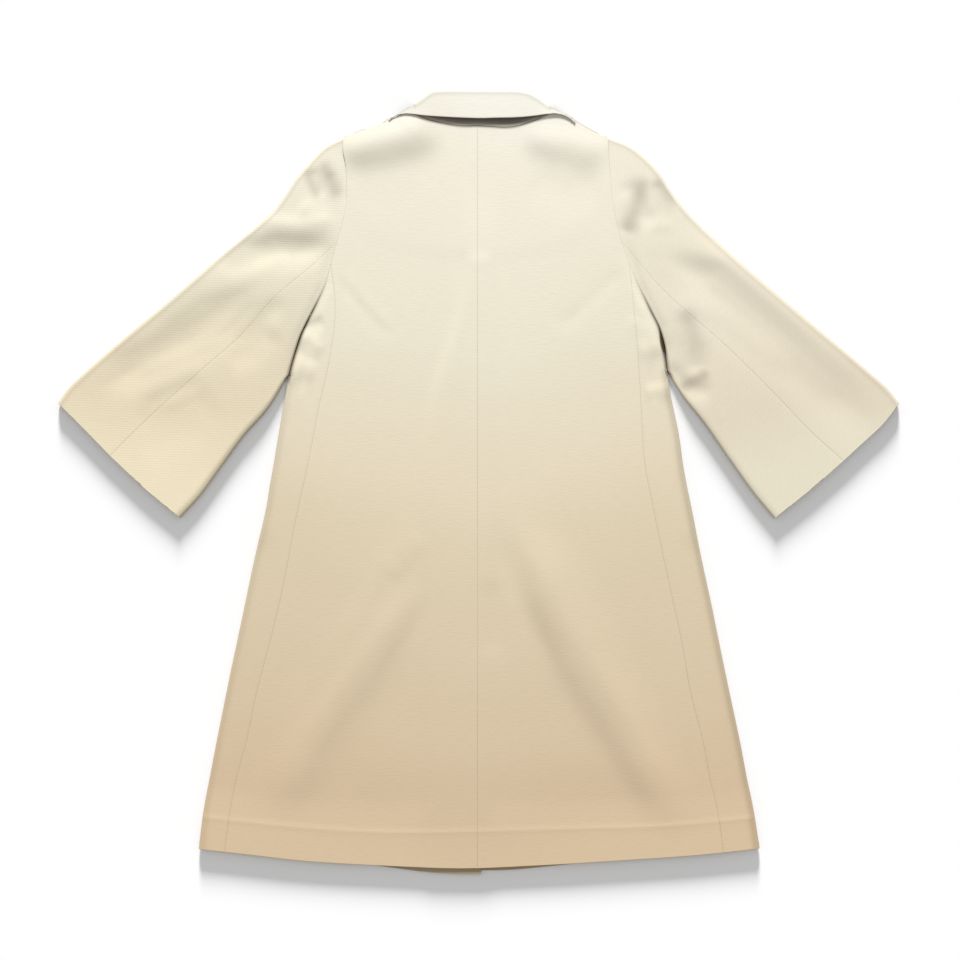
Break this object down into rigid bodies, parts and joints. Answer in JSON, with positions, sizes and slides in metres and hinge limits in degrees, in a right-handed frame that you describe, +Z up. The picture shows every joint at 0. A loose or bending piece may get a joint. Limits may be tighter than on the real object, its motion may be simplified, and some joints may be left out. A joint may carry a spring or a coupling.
{
  "type": "long coat",
  "caption": "Long wool coat laid flat on its front, back upwards, sleeves spread, collar turned down; outerwear that opens down the front.",
  "frame": {"origin": "on the floor, under the middle of the laid coat's bounding box", "axes": "+X to the right as the back is seen from above, +Y from hem to collar, +Z up off the floor"},
  "size_m": [1.177, 1.0972, 0.0185],
  "materials": {
    "coat_wool": "matt, fine twill grain",
    "collar_wool": "matt, fine twill grain"
  },
  "bodies": {
    "root": {"back_left": "coat_wool", "back_right": "coat_wool", "side_left": "coat_wool", "side_right": "coat_wool", "front_left": "coat_wool", "front_right": "coat_wool", "sleeve_left_top": "coat_wool", "sleeve_left_under": "coat_wool", "sleeve_right_top": "coat_wool", "sleeve_right_under": "coat_wool", "collar_upper": "collar_wool", "collar_under": "collar_wool", "collar_front_left": "collar_wool", "collar_front_right": "collar_wool"}
  },
  "joints": []
}
